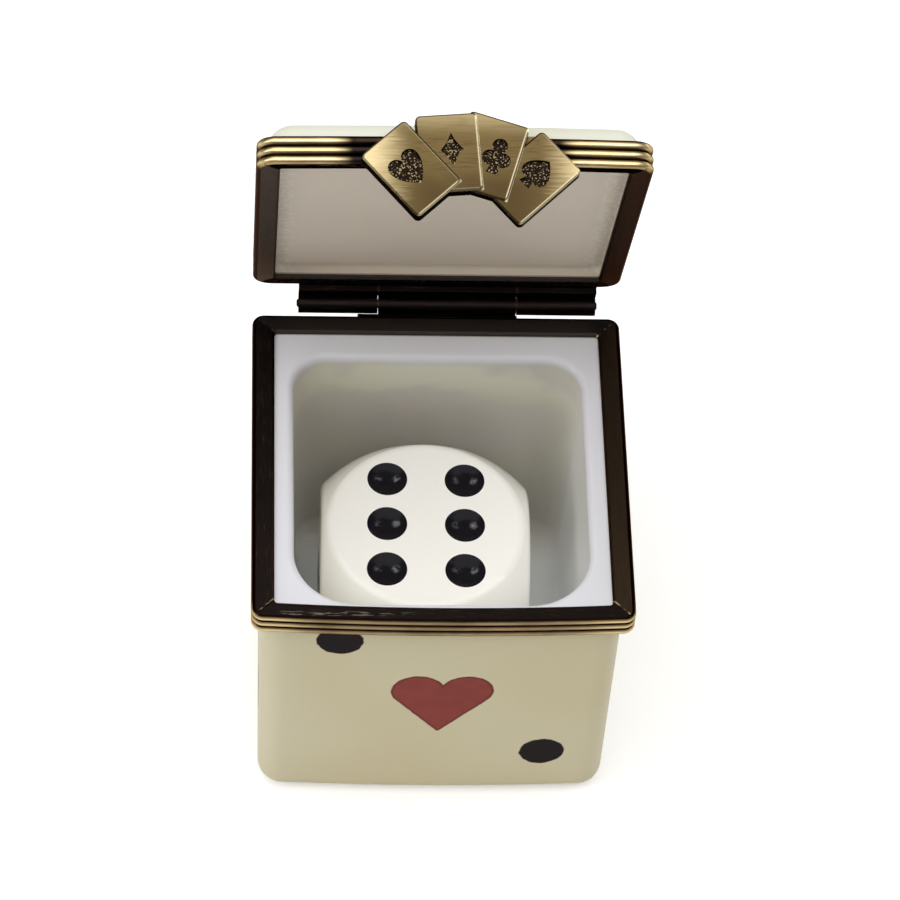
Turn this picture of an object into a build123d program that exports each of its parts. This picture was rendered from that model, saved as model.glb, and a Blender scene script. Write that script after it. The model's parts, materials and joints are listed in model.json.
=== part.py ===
from build123d import *
from math import sqrt
import os

# Porcelain trinket box in the form of a playing die: a slip-cast base and lid, each
# cemented into a beaded brass mount, joined by a three-knuckle hinge at the back and
# closed by a cast clasp of four fanned playing cards. A loose die lies inside.
#
# Millimetres. The origin is the middle of the underside, +Z is up, the clasp faces -Y
# and the hinge is at +Y. Everything on the lid is drawn closed and then swung open.

os.makedirs("parts", exist_ok=True)

# ---------------------------------------------------------------- driving dimensions
# Porcelain
box_width = 31.0  # left to right, over the glaze
box_depth = 31.1  # back face to the middle of the front
front_bow = 0.4  # the ends of the front lie this far behind its middle
edge_radius = 2.2  # upright edges of base and lid
base_height = 29.24  # underside to the seam between the two mounts
foot_radius = 2.1  # rounding round the underside
lid_height = 4.3  # seam to the top of the lid
crown_radius = 2.1  # rounding round the top of the lid

# Cavity of the base
side_wall = 2.75
front_wall = 1.5
back_wall = 3.6
floor_thickness = 3.65
cavity_front_corner = 5.5
cavity_back_corner = 3.2
cavity_draft = 1.5  # degrees
cavity_floor_radius = 1.8
mouth_radius = 0.7

# Hollow inside the lid
lid_wall = 0.65
lid_hollow_depth = 0.9
lid_hollow_corner = 1.4
lid_hollow_radius = 0.4

# Beaded mounts
bead_count = 3
bead_pitch = 0.81
bead_proud = 0.36
strip_thickness = 0.38
flange_width = 1.6
front_flange_width = 1.2
flange_thickness = 0.4
flange_corner = 0.3
flange_edge = 0.18  # bevel of the flange's inner edge
base_mount_corner = 0.3  # inside radius of the bent strip
lid_mount_corner = 1.0
cement_gap = 0.12
seam_gap = 0.1  # between the two flanges when the lid is shut
mitre_width = 0.09
mitre_depth = 0.12

# Hinge
hardware_offset = 1.05  # hinge and clasp both sit a little right of the middle
hinge_standoff = 2.0  # hinge axis behind the crests of the beads
hinge_drop = 0.95  # hinge axis below the seam
knuckle_radius = 0.88
center_knuckle_length = 12.4
outer_knuckle_length = 7.1
knuckle_gap = 0.08
leaf_thickness = 0.34
leaf_clearance = 0.04  # between a leaf and the crests of the beads
leaf_foot = 1.9  # height of the foot that is soldered to the band
leaf_gap = 0.03  # between one leaf and the other, or the other one's barrel
base_leaf_overhang = 1.8  # of the base's leaf past the left end of its barrel
pin_radius = 0.42
pin_clearance = 0.04
pin_head = 0.16
lid_open_angle = 69.5  # degrees, as the lid stands

# Clasp casting
inner_card_width = 5.1
inner_card_height = 6.65
outer_card_width = 4.8
outer_card_height = 7.0
card_corner = 0.42
card_bevel = 0.14
clasp_thickness = 0.95  # of the lowest card
card_step = 0.17  # each card lies this much higher than the one under it
clasp_clearance = 0.03  # behind the casting, over the crests of the beads
suit_depth = 0.3
solder_width = 12.0  # of the pad that joins the casting to the lid's beads
catch_radius = 0.17
catch_length = 4.6
catch_groove = 2  # the catch snaps in under this many beads of the base

# Cards of the fan: middle of the card from the middle of the seam, its turn in degrees,
# middle of the suit in the card's own directions, and size of the suit
heart_card_x = -3.81
heart_card_z = -0.94
heart_card_turn = 42.0
heart_across = -0.18
heart_up = 0.0
heart_width = 2.9
heart_height = 3.0
diamond_card_x = -0.7
diamond_card_z = 0.5
diamond_card_turn = 4.5
diamond_across = 0.26
diamond_up = 0.24
diamond_width = 1.9
diamond_height = 2.95
club_card_x = 2.53
club_card_z = 0.35
club_card_turn = -17.0
club_across = 0.66
club_up = 0.15
club_width = 2.4
club_height = 3.1
spade_card_x = 5.98
spade_card_z = -1.47
spade_card_turn = -47.5
spade_across = 0.0
spade_up = 0.64
spade_width = 2.5
spade_height = 2.9

# Loose die
die_size = 18.5
die_sphere_radius = 12.6
die_edge_radius = 1.0
die_pip_radius = 1.78
die_pip_depth = 0.5
die_pip_column = 3.43  # half the distance between columns
die_pip_row = 4.83  # distance between rows
die_pip_diagonal = 4.1  # reach of the corner pips on the other faces
die_x = -0.95
die_y = -1.4
die_turn = -1.0  # degrees
die_rest_gap = 0.05

# ---------------------------------------------------------------- places worked out
box_back = box_depth / 2
box_front = -box_depth / 2
band_height = bead_count * bead_pitch
band_proud = cement_gap + strip_thickness + bead_proud  # crests of the beads off the glaze
band_bottom = base_height - band_height
flange_inset = flange_width - cement_gap - strip_thickness  # inside the glaze
front_flange_inset = front_flange_width - cement_gap - strip_thickness
flange_underside = base_height - flange_thickness
porcelain_top = flange_underside - cement_gap

lid_seam = base_height + seam_gap
lid_flange_top = lid_seam + flange_thickness
lid_porcelain_bottom = lid_flange_top + cement_gap
lid_band_top = lid_seam + band_height
lid_top = base_height + lid_height

hinge_y = box_back + band_proud + hinge_standoff
hinge_z = base_height - hinge_drop
strip_face = box_back + cement_gap + strip_thickness  # roots of the beads
plate_rise = knuckle_radius - leaf_thickness  # nearer face of a leaf's plate from the hinge axis
barrel_clear = sqrt((knuckle_radius + leaf_gap) ** 2 - plate_rise**2)
leaf_front = box_back + band_proud + leaf_clearance
clasp_back = box_front - band_proud - clasp_clearance

hinge_start = hardware_offset - center_knuckle_length / 2 - outer_knuckle_length
left_split = hinge_start + outer_knuckle_length
right_split = left_split + center_knuckle_length
hinge_end = right_split + outer_knuckle_length

die_center = Vector(die_x, die_y, floor_thickness + die_rest_gap + die_size / 2)

lid_swing = Pos(0, hinge_y, hinge_z) * Rot(X=-lid_open_angle) * Pos(0, -hinge_y, -hinge_z)


# ---------------------------------------------------------------- shared outlines
def bowed_square(height, half_width, back, front, radius):
    """Rounded square at a height, with a front side that swells out in a shallow arc."""
    right_front = (half_width, front + front_bow)
    left_front = (-half_width, front + front_bow)
    with BuildSketch(Plane.XY.offset(height)) as plan:
        with BuildLine():
            Polyline(right_front, (half_width, back), (-half_width, back), left_front)
            ThreePointArc(left_front, (0, front), right_front)
        make_face()
        fillet(plan.vertices(), radius)
    return plan.sketch


def box_outline(height, inset, radius):
    """Plan of the whole box, inset from the glaze."""
    return bowed_square(height, box_width / 2 - inset, box_back - inset, box_front + inset, radius)


def flange_opening(height):
    """Plan of the opening inside a mount's flange."""
    half_width = box_width / 2 - flange_inset
    back = box_back - flange_inset
    front = box_front + front_flange_inset
    return bowed_square(height, half_width, back, front, flange_corner)


def strip_line(height, corner):
    """Wire round the inner face of a mount's strip."""
    return box_outline(height, -cement_gap, corner).face().outer_wire()


def flange_plate(height, corner):
    """Plan of a mount's flange, out to the middle of the strip."""
    into_strip = strip_thickness / 2
    return box_outline(height, -cement_gap - into_strip, corner + into_strip)


def band_section(height):
    """Section of the strip at the middle of the back: flat inside, half-round beads outside."""
    start = Plane((0, box_back + cement_gap, height), x_dir=(0, 1, 0), z_dir=(1, 0, 0))
    with BuildSketch(start) as section:
        with BuildLine():
            Polyline((strip_thickness, 0), (0, 0), (0, band_height), (strip_thickness, band_height))
            for bead in range(bead_count):
                low = bead * bead_pitch
                crest = (strip_thickness + bead_proud, low + bead_pitch / 2)
                ThreePointArc((strip_thickness, low), crest, (strip_thickness, low + bead_pitch))
        make_face()
    return section.sketch


def mitre_places(height):
    """The four corners of a flange, each turned along its mitre."""
    side = box_width / 2 - flange_inset + flange_width / 2
    back = box_back - flange_inset + flange_width / 2
    front = box_front + front_flange_inset + front_bow - front_flange_width / 2
    return [
        Location((side, back, height), (0, 0, 45)),
        Location((-side, back, height), (0, 0, 135)),
        Location((-side, front, height), (0, 0, 45)),
        Location((side, front, height), (0, 0, 135)),
    ]


def leaf_section(start, foot, solder, plate_low):
    """Section of a hinge leaf short of the barrels: plate, foot and the solder behind it."""
    foot_low, foot_high = foot
    solder_low, solder_high = solder
    plate_reach = hinge_y - barrel_clear - leaf_front
    with BuildSketch(Plane.YZ.offset(start)) as section:
        with Locations((leaf_front, plate_low)):
            Rectangle(plate_reach, leaf_thickness, align=(Align.MIN, Align.MIN))
        with Locations((leaf_front, foot_low)):
            Rectangle(leaf_thickness, foot_high - foot_low, align=(Align.MIN, Align.MIN))
        with Locations((leaf_front, solder_low)):
            Rectangle(leaf_front - strip_face, solder_high - solder_low, align=(Align.MAX, Align.MIN))
    return section.sketch


def barrel_section(start, plate_low, bore_radius):
    """Section of a barrel with the plate that carries it."""
    with BuildSketch(Plane.YZ.offset(start)) as section:
        with Locations((hinge_y, hinge_z)):
            Circle(knuckle_radius)
        with Locations((leaf_front, plate_low)):
            Rectangle(hinge_y - leaf_front, leaf_thickness, align=(Align.MIN, Align.MIN))
        with Locations((hinge_y, hinge_z)):
            Circle(bore_radius, mode=Mode.SUBTRACT)
    return section.sketch


# ---------------------------------------------------------------- porcelain base
with BuildPart() as porcelain_base:
    extrude(box_outline(0, 0, edge_radius), amount=porcelain_top)
    fillet(porcelain_base.edges().group_by(Axis.Z)[0], foot_radius)
    cavity_width = box_width - 2 * side_wall
    cavity_depth = box_depth - front_wall - back_wall
    with BuildSketch(Plane.XY.offset(porcelain_top)) as mouth:
        with Locations((0, (front_wall - back_wall) / 2)):
            Rectangle(cavity_width, cavity_depth)
        fillet(mouth.vertices().group_by(Axis.Y)[0], cavity_front_corner)
        fillet(mouth.vertices().group_by(Axis.Y)[-1], cavity_back_corner)
    extrude(amount=floor_thickness - porcelain_top, taper=cavity_draft, mode=Mode.SUBTRACT)
    cavity_floor = porcelain_base.faces().filter_by(Axis.Z).sort_by(Axis.Z)[1]
    fillet(cavity_floor.outer_wire().edges(), cavity_floor_radius)
    ledge = porcelain_base.faces().sort_by(Axis.Z)[-1]
    fillet(ledge.inner_wires()[0].edges(), mouth_radius)

# ---------------------------------------------------------------- porcelain lid
with BuildPart() as porcelain_lid:
    extrude(box_outline(lid_porcelain_bottom, 0, edge_radius), amount=lid_top - lid_porcelain_bottom)
    fillet(porcelain_lid.edges().group_by(Axis.Z)[-1], crown_radius)
    hollow = box_outline(lid_porcelain_bottom, lid_wall, lid_hollow_corner)
    extrude(hollow, amount=lid_hollow_depth, mode=Mode.SUBTRACT)
    ceiling = porcelain_lid.faces().filter_by(Axis.Z).sort_by(Axis.Z)[1]
    fillet(ceiling.outer_wire().edges(), lid_hollow_radius)

# ---------------------------------------------------------------- beaded mount of the base
with BuildPart() as base_mount:
    sweep(band_section(band_bottom), path=strip_line(band_bottom, base_mount_corner))
    extrude(flange_plate(flange_underside, base_mount_corner), amount=flange_thickness)
    extrude(flange_opening(flange_underside), amount=flange_thickness, mode=Mode.SUBTRACT)
    base_flange_top = base_mount.faces().sort_by(Axis.Z)[-1]
    chamfer(base_flange_top.inner_wires()[0].edges(), flange_edge)
    with Locations(mitre_places(base_height)):
        Box(2 * flange_width, mitre_width, 2 * mitre_depth, mode=Mode.SUBTRACT)

# ---------------------------------------------------------------- beaded mount of the lid
with BuildPart() as lid_mount:
    sweep(band_section(lid_seam), path=strip_line(lid_seam, lid_mount_corner))
    extrude(flange_plate(lid_seam, lid_mount_corner), amount=flange_thickness)
    extrude(flange_opening(lid_seam), amount=flange_thickness, mode=Mode.SUBTRACT)
    lid_flange_face = lid_mount.faces().sort_by(Axis.Z)[0]
    chamfer(lid_flange_face.inner_wires()[0].edges(), flange_edge)
    with Locations(mitre_places(lid_seam)):
        Box(2 * flange_width, mitre_width, 2 * mitre_depth, mode=Mode.SUBTRACT)

# ---------------------------------------------------------------- bedding cement
with BuildPart() as base_cement:
    base_bed = box_outline(band_bottom, -cement_gap, base_mount_corner)
    extrude(base_bed, amount=flange_underside - band_bottom)
    extrude(box_outline(band_bottom, 0, edge_radius), amount=porcelain_top - band_bottom, mode=Mode.SUBTRACT)
    extrude(flange_opening(porcelain_top), amount=cement_gap, mode=Mode.SUBTRACT)

with BuildPart() as lid_cement:
    lid_bed = box_outline(lid_flange_top, -cement_gap, lid_mount_corner)
    extrude(lid_bed, amount=lid_band_top - lid_flange_top)
    extrude(
        box_outline(lid_porcelain_bottom, 0, edge_radius),
        amount=lid_band_top - lid_porcelain_bottom,
        mode=Mode.SUBTRACT,
    )
    extrude(flange_opening(lid_flange_top), amount=cement_gap, mode=Mode.SUBTRACT)

# ---------------------------------------------------------------- hinge
base_plate_low = hinge_z - knuckle_radius
lid_plate_low = hinge_z + knuckle_radius - leaf_thickness
base_foot = (base_plate_low - leaf_thickness, lid_plate_low - leaf_gap)
lid_foot = (lid_plate_low, lid_seam + leaf_foot)
lid_solder = (lid_seam, lid_seam + leaf_foot)
outer_length = outer_knuckle_length - knuckle_gap / 2
lid_leaf_length = (hinge_end - hinge_start) / 2

with BuildPart() as hinge_center_knuckle:
    base_leaf_start = left_split - base_leaf_overhang
    extrude(
        leaf_section(base_leaf_start, base_foot, base_foot, base_plate_low),
        amount=right_split - base_leaf_start,
    )
    center_bore = pin_radius + pin_clearance
    extrude(
        barrel_section(left_split + knuckle_gap / 2, base_plate_low, center_bore),
        amount=center_knuckle_length - knuckle_gap,
    )
    add(base_mount.part, mode=Mode.SUBTRACT)

with BuildPart() as hinge_left_knuckle:
    extrude(leaf_section(hinge_start, lid_foot, lid_solder, lid_plate_low), amount=lid_leaf_length)
    extrude(barrel_section(hinge_start, lid_plate_low, pin_radius), amount=outer_length)
    add(lid_mount.part, mode=Mode.SUBTRACT)

with BuildPart() as hinge_right_knuckle:
    right_leaf_start = hinge_end - lid_leaf_length
    extrude(leaf_section(right_leaf_start, lid_foot, lid_solder, lid_plate_low), amount=lid_leaf_length)
    extrude(barrel_section(hinge_end - outer_length, lid_plate_low, pin_radius), amount=outer_length)
    add(lid_mount.part, mode=Mode.SUBTRACT)

with BuildPart() as hinge_pin:
    with BuildSketch(Plane.YZ.offset(hinge_start - pin_head)):
        with Locations((hinge_y, hinge_z)):
            Circle(pin_radius)
    extrude(amount=hinge_end - hinge_start + 2 * pin_head)
    chamfer(hinge_pin.edges().filter_by(GeomType.CIRCLE), pin_head)

# ---------------------------------------------------------------- card-fan clasp
# The suits are drawn upright about the middle of their width and height.
def heart_suit(width, height):
    """Heart with its point down."""
    top = height / 2
    notch_depth = 0.21 * width
    lobe_depth = 0.25 * width
    waist = -0.12 * height
    with BuildSketch() as suit:
        with BuildLine():
            ThreePointArc((0, top - notch_depth), (width / 4, top), (width / 2, top - lobe_depth))
            Bezier((width / 2, top - lobe_depth), (width / 2, waist), (0, -height / 2))
            mirror(about=Plane.YZ)
        make_face()
    return suit.sketch


def diamond_suit(width, height):
    """Diamond with sides that sink in a little."""
    sink = 0.44
    with BuildSketch() as suit:
        with BuildLine():
            side = (width / 2, 0)
            ThreePointArc((0, height / 2), (sink * width / 2, sink * height / 2), side)
            ThreePointArc(side, (sink * width / 2, -sink * height / 2), (0, -height / 2))
            mirror(about=Plane.YZ)
        make_face()
    return suit.sketch


def suit_stem(width, height):
    """Flared foot under a club or a spade."""
    neck = 0.05 * width
    foot = 0.22 * width
    with BuildSketch() as suit:
        with BuildLine():
            Polyline((0, 0), (neck, 0), (foot, -height / 2), (0, -height / 2))
            mirror(about=Plane.YZ)
        make_face()
    return suit.sketch


def club_suit(width, height):
    """Three round leaves on a stem."""
    leaf = 0.27 * width
    side = width / 2 - leaf
    side_drop = -0.08 * height
    with BuildSketch() as suit:
        with Locations((0, height / 2 - leaf), (side, side_drop), (-side, side_drop)):
            Circle(leaf)
        add(suit_stem(width, height))
    return suit.sketch


def spade_suit(width, height):
    """Pointed leaf on a stem."""
    leaf_height = 0.8 * height
    with BuildSketch() as suit:
        with Locations((0, (height - leaf_height) / 2)):
            add(heart_suit(width, leaf_height), rotation=180)
        add(suit_stem(width, height))
    return suit.sketch


# the fan from the lowest card to the top one: place and size of the card, its suit, the suit's place
card_fan = [
    (
        Location((spade_card_x, spade_card_z), spade_card_turn),
        (outer_card_width, outer_card_height),
        spade_suit(spade_width, spade_height),
        (spade_across, spade_up),
    ),
    (
        Location((club_card_x, club_card_z), club_card_turn),
        (inner_card_width, inner_card_height),
        club_suit(club_width, club_height),
        (club_across, club_up),
    ),
    (
        Location((diamond_card_x, diamond_card_z), diamond_card_turn),
        (inner_card_width, inner_card_height),
        diamond_suit(diamond_width, diamond_height),
        (diamond_across, diamond_up),
    ),
    (
        Location((heart_card_x, heart_card_z), heart_card_turn),
        (outer_card_width, outer_card_height),
        heart_suit(heart_width, heart_height),
        (heart_across, heart_up),
    ),
]
fan_plane = Plane((0, clasp_back, lid_seam), x_dir=(1, 0, 0), z_dir=(0, -1, 0))

with BuildPart() as card_fan_clasp:
    for level, (card_place, card_size, suit, suit_place) in enumerate(card_fan):
        face_height = clasp_thickness + level * card_step
        with BuildSketch(fan_plane):
            with Locations(card_place):
                RectangleRounded(*card_size, card_corner)
        extrude(amount=face_height - card_bevel)
        with BuildSketch(fan_plane.offset(face_height - card_bevel)):
            with Locations(card_place):
                RectangleRounded(*card_size, card_corner)
        extrude(amount=card_bevel, taper=45)
        with BuildSketch(fan_plane.offset(face_height)):
            with Locations(card_place):
                with Locations(suit_place):
                    add(suit)
        extrude(amount=-suit_depth, mode=Mode.SUBTRACT)
    with BuildSketch(fan_plane):
        with Locations((hardware_offset, 0)):
            Rectangle(solder_width, band_height, align=(Align.CENTER, Align.MIN))
    extrude(amount=-bead_proud - clasp_clearance)
    add(lid_mount.part, mode=Mode.SUBTRACT)

with BuildPart() as clasp_catch:
    with BuildSketch(Plane.YZ.offset(hardware_offset - catch_length / 2)):
        with Locations((clasp_back, base_height - catch_groove * bead_pitch)):
            Circle(catch_radius)
            Rectangle(catch_radius, 2 * catch_radius, align=(Align.MAX, Align.CENTER), mode=Mode.SUBTRACT)
    extrude(amount=catch_length)

# ---------------------------------------------------------------- loose die
row, column, corner = die_pip_row, die_pip_column, die_pip_diagonal
one = [(0, 0)]
two = [(-corner, -corner), (corner, corner)]
four = [(-corner, -corner), (-corner, corner), (corner, -corner), (corner, corner)]
six = [(-column, -row), (-column, 0), (-column, row), (column, -row), (column, 0), (column, row)]
die_faces = [
    (Plane.XY, six),
    (Plane.XZ, two),
    (Plane.YZ, four),
    (Plane.XY.rotated((180, 0, 0)), one),
    (Plane.XZ.rotated((0, 0, 180)), four + one),
    (Plane.YZ.rotated((0, 0, 180)), two + one),
]
dimple_radius = (die_pip_radius**2 + die_pip_depth**2) / (2 * die_pip_depth)

with BuildPart() as die:
    Box(die_size, die_size, die_size)
    Sphere(die_sphere_radius, mode=Mode.INTERSECT)
    fillet(die.edges().filter_by(GeomType.CIRCLE), die_edge_radius)
    for face_plane, pips in die_faces:
        with Locations(face_plane.offset(die_size / 2 - die_pip_depth + dimple_radius)):
            with Locations(*pips):
                Sphere(dimple_radius, mode=Mode.SUBTRACT)
    die.part.move(Location(die_center, (0, 0, die_turn)))

# ---------------------------------------------------------------- the lid swings open
porcelain_lid.part.move(lid_swing)
lid_mount.part.move(lid_swing)
lid_cement.part.move(lid_swing)
hinge_left_knuckle.part.move(lid_swing)
hinge_right_knuckle.part.move(lid_swing)
hinge_pin.part.move(lid_swing)
card_fan_clasp.part.move(lid_swing)
clasp_catch.part.move(lid_swing)

# ---------------------------------------------------------------- one file for each piece
porcelain_base.part.label = "porcelain_base"
export_step(porcelain_base.part, "parts/porcelain_base.step")
base_mount.part.label = "base_mount"
export_step(base_mount.part, "parts/base_mount.step")
base_cement.part.label = "base_cement"
export_step(base_cement.part, "parts/base_cement.step")
hinge_center_knuckle.part.label = "hinge_center_knuckle"
export_step(hinge_center_knuckle.part, "parts/hinge_center_knuckle.step")
porcelain_lid.part.label = "porcelain_lid"
export_step(porcelain_lid.part, "parts/porcelain_lid.step")
lid_mount.part.label = "lid_mount"
export_step(lid_mount.part, "parts/lid_mount.step")
lid_cement.part.label = "lid_cement"
export_step(lid_cement.part, "parts/lid_cement.step")
hinge_left_knuckle.part.label = "hinge_left_knuckle"
export_step(hinge_left_knuckle.part, "parts/hinge_left_knuckle.step")
hinge_right_knuckle.part.label = "hinge_right_knuckle"
export_step(hinge_right_knuckle.part, "parts/hinge_right_knuckle.step")
hinge_pin.part.label = "hinge_pin"
export_step(hinge_pin.part, "parts/hinge_pin.step")
card_fan_clasp.part.label = "card_fan_clasp"
export_step(card_fan_clasp.part, "parts/card_fan_clasp.step")
clasp_catch.part.label = "clasp_catch"
export_step(clasp_catch.part, "parts/clasp_catch.step")
die.part.label = "die"
export_step(die.part, "parts/die.step")
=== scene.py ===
# %% [markdown]
# # A porcelain dice box with a brass card clasp
#
# The solids of the box come ready made from the frame: porcelain, mounts, hinge, clasp
# and die. This notebook gives them their finish: glaze and painted marks, antique brass
# that is bright on the ridges and dark in the grooves, and a glossy die.
#
# Blender measures in metres, and so does the frame. `MM` turns the workshop's millimetres
# into metres. The patterns of the finishes are worked out in millimetres.

# %% Load the frame
import functools
import json
import math

import bmesh
import bpy
from mathutils import Matrix, Vector


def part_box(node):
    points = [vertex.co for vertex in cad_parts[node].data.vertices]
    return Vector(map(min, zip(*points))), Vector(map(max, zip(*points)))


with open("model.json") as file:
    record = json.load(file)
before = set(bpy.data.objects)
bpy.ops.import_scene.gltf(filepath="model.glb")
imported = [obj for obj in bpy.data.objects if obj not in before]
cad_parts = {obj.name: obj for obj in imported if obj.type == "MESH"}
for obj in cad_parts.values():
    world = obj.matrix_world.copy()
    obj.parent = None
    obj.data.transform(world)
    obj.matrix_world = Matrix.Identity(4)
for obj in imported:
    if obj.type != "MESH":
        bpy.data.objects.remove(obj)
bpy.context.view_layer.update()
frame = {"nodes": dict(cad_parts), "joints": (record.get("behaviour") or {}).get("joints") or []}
nodes = frame["nodes"]
MM = 0.001
print("nodes:", ", ".join(sorted(nodes)))


# %% [markdown]
# ## The places that everything is measured from
#
# The seam is where the two brass mounts meet when the lid is shut. The lid stands open,
# so its finish is easiest to describe on the shut lid: a point of the open lid is turned
# back round the hinge before a pattern reads it.

# %% Seam, hinge and lid
rim_low, rim_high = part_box("base_mount")
SEAM = rim_high.z
SEAM_MM = SEAM / MM
hinge = next(joint for joint in frame["joints"] if joint["name"] == "lid_hinge")
HINGE_AT = Vector(hinge["pos_m"])
OPEN_ANGLE = math.radians(-hinge["range_deg"][0])
print(f"seam at {SEAM_MM:.2f} mm, lid open by {math.degrees(OPEN_ANGLE):.1f} degrees")


# %% [markdown]
# ## Camera
#
# A long lens looks down at the open box from the front, a little from the left. The
# angles are given as a turn round the box, a height above the table and a roll.

# %% Camera
CAMERA_TURN = math.radians(-5.296)
CAMERA_HEIGHT = math.radians(53.83)
CAMERA_ROLL = math.radians(4.817)
CAMERA_DISTANCE = 363.5 * MM
CAMERA_ASIDE = 0.839 * MM
CAMERA_UP = 1.282 * MM
LENS = 167.4
SENSOR = 36.0
CLIP_NEAR = 10 * MM
CLIP_FAR = 10.0


def add_camera():
    """Camera that looks at the middle of the rim."""
    data = bpy.data.cameras.new("camera")
    data.lens = LENS
    data.sensor_width = SENSOR
    data.clip_start = CLIP_NEAR
    data.clip_end = CLIP_FAR
    camera = bpy.data.objects.new("camera", data)
    camera.matrix_world = (
        Matrix.Translation((0, 0, SEAM))
        @ Matrix.Rotation(CAMERA_TURN, 4, "Z")
        @ Matrix.Rotation(math.pi / 2 - CAMERA_HEIGHT, 4, "X")
        @ Matrix.Rotation(CAMERA_ROLL, 4, "Z")
        @ Matrix.Translation((CAMERA_ASIDE, CAMERA_UP, CAMERA_DISTANCE))
    )
    bpy.context.scene.collection.objects.link(camera)
    bpy.context.scene.camera = camera
    return camera


camera = add_camera()
print("camera at", [round(value / MM) for value in camera.matrix_world.translation], "mm")


# %% [markdown]
# ## Writing shader maths as plain expressions
#
# A mask such as "near the groove and not on top" is a few Math nodes. `Wire` wraps a
# socket so that `1 - mask` or `height * 0.5` adds those nodes by itself.

# %% Wire
class Wire:
    """A socket that can be added to, multiplied and so on."""

    def __init__(self, finish, socket):
        self.finish = finish
        self.socket = socket

    def math(self, operation, *operands):
        """One Math node."""
        inputs = dict(enumerate(operands))
        return self.finish.add("ShaderNodeMath", {"operation": operation}, inputs)[0]

    def __add__(self, other):
        return self.math("ADD", self, other)

    def __radd__(self, other):
        return self.math("ADD", other, self)

    def __sub__(self, other):
        return self.math("SUBTRACT", self, other)

    def __rsub__(self, other):
        return self.math("SUBTRACT", other, self)

    def __mul__(self, other):
        return self.math("MULTIPLY", self, other)

    def __rmul__(self, other):
        return self.math("MULTIPLY", other, self)

    def __truediv__(self, other):
        return self.math("DIVIDE", self, other)

    def __abs__(self):
        return self.math("ABSOLUTE", self)

    def fraction(self):
        return self.math("FRACT", self)

    def root(self):
        return self.math("SQRT", self)

    def least(self, other):
        return self.math("MINIMUM", self, other)

    def most(self, other):
        return self.math("MAXIMUM", self, other)

    def below(self, limit):
        """1 where this is less than the limit, else 0."""
        return self.math("LESS_THAN", self, limit)


print("a wire knows + - * / abs,", ", ".join(name for name in vars(Wire) if name[0] != "_"))


# %% [markdown]
# ## One class for every finish
#
# A finish is a material with one shader. Its constants are set on the shader at the
# start, and `feed` links what changes over the surface. Every node comes from one method,
# `add`, which takes a node's type, its settings and the values or links of its sockets.
# Patterns read the coordinates of the object itself, so that they stay where they are
# when the lid turns.

# %% Finish
NOISE_CORE = (0.2, 0.8)  # nearly all the values of a noise lie between these


class Finish:
    """A material, and the kinds of node that the finishes share."""

    def __init__(self, name, constants):
        self.material = bpy.data.materials.new(name)
        self.material.use_nodes = True
        self.tree = self.material.node_tree
        self.tree.nodes.clear()
        self.shader = self.add("ShaderNodeBsdfPrincipled", {}, constants)
        self.add("ShaderNodeOutputMaterial", {}, {"Surface": self.shader["BSDF"]})

    def add(self, kind, settings, inputs):
        """Adds a node and returns its outputs as wires, by name and by number."""
        node = self.tree.nodes.new(kind)
        for name, value in settings.items():
            setattr(node, name, value)
        for name, value in inputs.items():
            if isinstance(value, Wire):
                self.tree.links.new(value.socket, node.inputs[name])
            else:
                node.inputs[name].default_value = value
        wires = [Wire(self, output) for output in node.outputs]
        by_name = {wire.socket.name: wire for wire in wires}
        return {"node": node, **by_name, **dict(enumerate(wires))}

    def feed(self, **inputs):
        """Links wires to the shader's own sockets."""
        for name, wire in inputs.items():
            self.tree.links.new(wire.socket, self.shader["node"].inputs[name.replace("_", " ")])

    def millimetres(self, shut_lid=False):
        """Object coordinates in millimetres, or those of the shut lid."""
        place = self.add("ShaderNodeTexCoord", {}, {})["Object"]
        if shut_lid:
            turned = Matrix.Rotation(OPEN_ANGLE, 3, "X")
            inputs = {"Vector": place, "Location": HINGE_AT - turned @ HINGE_AT}
            inputs["Rotation"] = (OPEN_ANGLE, 0.0, 0.0)
            place = self.add("ShaderNodeMapping", {"vector_type": "POINT"}, inputs)["Vector"]
        return self.stretch(place, (1 / MM, 1 / MM, 1 / MM))

    def split(self, vector):
        parts = self.add("ShaderNodeSeparateXYZ", {}, {"Vector": vector})
        return parts["X"], parts["Y"], parts["Z"]

    def stretch(self, vector, factors):
        return self.add("ShaderNodeMapping", {}, {"Vector": vector, "Scale": factors})["Vector"]

    def noise(self, vector, scale, detail):
        inputs = {"Vector": vector, "Scale": scale, "Detail": detail}
        return self.add("ShaderNodeTexNoise", {}, inputs)[0]

    def step(self, value, low, high):
        """Smooth step: 0 below low, 1 above high."""
        settings = {"interpolation_type": "SMOOTHSTEP"}
        inputs = {"Value": value, "From Min": low, "From Max": high}
        return self.add("ShaderNodeMapRange", settings, inputs)[0]

    def patches(self, vector, scale, detail, low, high):
        """Patches with soft edges: 0 where a noise is below low, 1 where it is above high."""
        return self.step(self.noise(vector, scale, detail), low, high)

    def mix(self, factor, first, second):
        """Mixes two colours. Inputs 6 and 7 and output 2 are a Mix node's colour sockets."""
        inputs = {0: factor}
        for socket, color in ((6, first), (7, second)):
            inputs[socket] = color if isinstance(color, Wire) else (*color, 1.0)
        return self.add("ShaderNodeMix", {"data_type": "RGBA"}, inputs)[2]

    def bump(self, height, distance, strength, normal=None):
        inputs = {"Height": height, "Distance": distance, "Strength": strength}
        if normal is not None:
            inputs["Normal"] = normal
        return self.add("ShaderNodeBump", {}, inputs)["Normal"]

    def roughness(self, noise, low, high):
        """A roughness that follows a noise from low to high."""
        return self.step(noise, *NOISE_CORE) * (high - low) + low


def dress(finish, *names):
    """Gives carried-over solids a finish."""
    for name in names:
        mesh = nodes[name].data
        mesh.materials.clear()
        mesh.materials.append(finish.material)
    print(finish.material.name, "on", ", ".join(names))


print("a finish can:", ", ".join(name for name in vars(Finish) if name[0] != "_"))


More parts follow.
